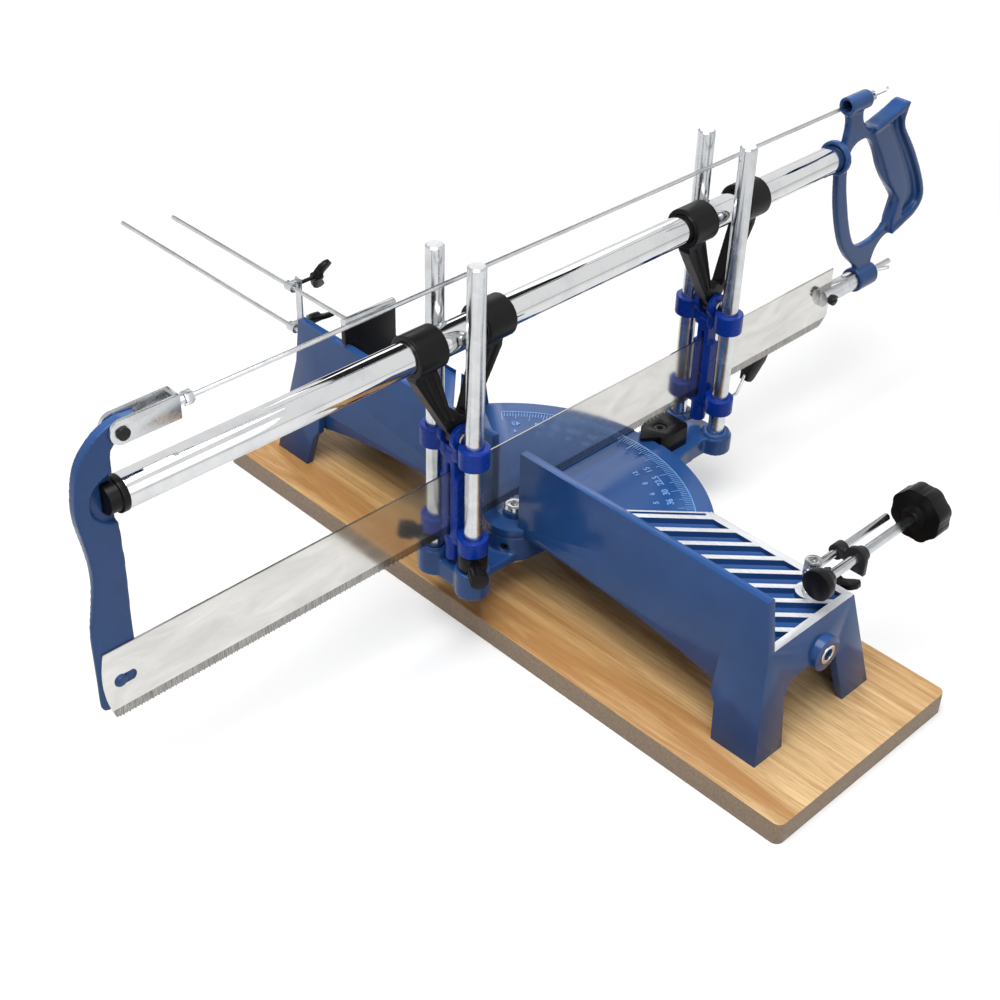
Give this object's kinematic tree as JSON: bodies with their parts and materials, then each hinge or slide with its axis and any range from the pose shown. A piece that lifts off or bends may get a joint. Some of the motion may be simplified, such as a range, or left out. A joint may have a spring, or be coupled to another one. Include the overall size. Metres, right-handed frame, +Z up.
{
  "type": "manual_mitre_saw",
  "caption": "Manual mitre saw: a tensioned frame saw sliding through carriages on guide posts over a cast table with split fence, protractor, length stop and work clamp on a wooden board.",
  "frame": {"origin": "The point of the board's underside below the axis that the saw swings about.", "axes": "+Z up, +X along the fence to the user's right, +Y away from the user, who holds the handle at -Y."},
  "size_m": [0.6637, 0.7016, 0.2607],
  "materials": {
    "blue_casting": "glossy blue enamel on cast metal",
    "blue_plastic": "moulded royal blue plastic",
    "black_plastic": "satin black moulded plastic",
    "chromed_steel": "bright chromed tube",
    "zinc_steel": "bright zinc-plated steel",
    "blade_steel": "satin ground blade with dark ground band above the teeth",
    "black_steel": "blackened steel screws",
    "board_wood": "light oak-grained board with bare brown edges"
  },
  "bodies": {
    "base": {"base_board": "board_wood", "board_screws": "zinc_steel", "table_casting": "blue_casting", "pivot_bolt": "zinc_steel", "pivot_nut": "zinc_steel", "guide_rod": "zinc_steel"},
    "arm": {"swing_arm": "blue_casting", "index_block": "black_plastic", "index_screw": "black_steel", "posts": "zinc_steel", "hub_screw": "black_steel", "stop_ring": "black_plastic"},
    "thumbscrew": {"stop_thumbscrew": "black_plastic"},
    "release_lever": {"index_lever": "zinc_steel", "lever_tab": "black_plastic"},
    "back_carriage": {"carriage_back": "blue_plastic", "fork_pin_back": "zinc_steel"},
    "back_fork": {"fork_back": "black_plastic"},
    "front_carriage": {"carriage_front": "blue_plastic", "fork_pin_front": "zinc_steel"},
    "front_fork": {"fork_front": "black_plastic"},
    "saw_frame": {"back_tube": "chromed_steel", "tube_end_cap": "black_plastic", "end_bow": "blue_casting", "blade": "blade_steel", "blade_pin": "blue_casting", "handle": "blue_casting", "blade_holder": "zinc_steel", "holder_screw": "black_steel", "tension_rod": "zinc_steel", "tension_clevis": "zinc_steel", "clevis_pin": "black_steel", "lock_nut": "zinc_steel"},
    "rod_nut": {"tension_wing_nut": "zinc_steel"},
    "blade_nut": {"blade_wing_nut": "zinc_steel"},
    "stop_slider": {"stop_bracket": "zinc_steel"},
    "stop_arm": {"stop_rod": "zinc_steel", "stop_plate": "black_plastic"},
    "stop_screw_upper": {"upper_wing_screw": "black_plastic"},
    "stop_screw_lower": {"lower_wing_screw": "black_plastic"},
    "clamp_arm": {"clamp_post": "zinc_steel"},
    "clamp_slider": {"clamp_rod": "zinc_steel", "clamp_bracket": "black_steel"},
    "pad": {"clamp_pad": "black_plastic"},
    "clamp_screw": {"clamp_spindle": "zinc_steel", "clamp_knob": "black_plastic"},
    "clamp_lock": {"clamp_wing_screw": "black_plastic"}
  },
  "joints": [
    {"name": "swing", "type": "hinge", "parent": "base", "child": "arm", "pos_m": [0, 0, 0.046], "axis": [0, 0, 1], "range_deg": [-45, 45]},
    {"name": "stop_ring_screw", "type": "hinge", "parent": "arm", "child": "thumbscrew", "pos_m": [-0.0166, 0.0508, 0.0643], "axis": [-0.8387, 0.5446, 0], "continuous": true},
    {"name": "index_release", "type": "hinge", "parent": "arm", "child": "release_lever", "pos_m": [0.008, -0.177, 0.046], "axis": [1, 0, 0], "range_deg": [0, 6], "stiffness_Nm_per_rad": 0.4, "springref_deg": -5.73},
    {"name": "cut_depth", "type": "slide", "parent": "arm", "child": "back_carriage", "axis": [0, 0, 1], "range_m": [0, 0.095]},
    {"name": "saw_tilt", "type": "hinge", "parent": "back_carriage", "child": "back_fork", "pos_m": [0, 0.0508, 0.146], "axis": [-1, 0, 0], "range_deg": [0, 5]},
    {"name": "front_rise", "type": "slide", "parent": "back_carriage", "child": "front_carriage", "axis": [0, 0, 1], "range_m": [0, 0.0199]},
    {"name": "front_fork_tilt", "type": "hinge", "parent": "front_carriage", "child": "front_fork", "pos_m": [0, -0.1753, 0.146], "axis": [-1, 0, 0], "range_deg": [0, 5.01]},
    {"name": "saw_stroke", "type": "slide", "parent": "back_fork", "child": "saw_frame", "axis": [0, 1, 0], "range_m": [-0.17, 0.078]},
    {"name": "rod_nut_turn", "type": "hinge", "parent": "saw_frame", "child": "rod_nut", "pos_m": [0, -0.327, 0.246], "axis": [0, 1, 0], "continuous": true},
    {"name": "blade_nut_turn", "type": "hinge", "parent": "saw_frame", "child": "blade_nut", "pos_m": [0, -0.365, 0.1015], "axis": [0, 1, 0], "continuous": true},
    {"name": "stop_slide", "type": "slide", "parent": "base", "child": "stop_slider", "axis": [1, 0, 0], "range_m": [0, 0.18]},
    {"name": "stop_reach", "type": "slide", "parent": "stop_slider", "child": "stop_arm", "axis": [1, 0, 0], "range_m": [-0.1, 0.04]},
    {"name": "upper_screw_turn", "type": "hinge", "parent": "stop_slider", "child": "stop_screw_upper", "pos_m": [0.2085, 0, 0.138], "axis": [0, 1, 0], "continuous": true},
    {"name": "lower_screw_turn", "type": "hinge", "parent": "stop_slider", "child": "stop_screw_lower", "pos_m": [0.2085, 0, 0.107], "axis": [0, 1, 0], "continuous": true},
    {"name": "clamp_height", "type": "slide", "parent": "base", "child": "clamp_arm", "axis": [0, 0, 1], "range_m": [0, 0.02]},
    {"name": "clamp_reach", "type": "slide", "parent": "clamp_arm", "child": "clamp_slider", "axis": [0, 1, 0], "range_m": [-0.005, 0.015]},
    {"name": "clamp_press", "type": "slide", "parent": "clamp_slider", "child": "pad", "axis": [0, 1, 0], "range_m": [0, 0.008]},
    {"name": "knob_turn", "type": "hinge", "parent": "pad", "child": "clamp_screw", "pos_m": [-0.197, -0.1, 0.103], "axis": [0, 1, 0], "range_deg": [0, 2880]},
    {"name": "clamp_lock_turn", "type": "hinge", "parent": "base", "child": "clamp_lock", "pos_m": [-0.184, -0.07, 0.075], "axis": [0, 1, 0], "continuous": true}
  ],
  "couplings": [
    {"joint": "front_rise", "follows": "saw_tilt", "m_per_rad": 0.22668},
    {"joint": "front_fork_tilt", "follows": "saw_tilt", "ratio": 1},
    {"joint": "knob_turn", "follows": "clamp_press", "rad_per_m": 6283.2}
  ]
}
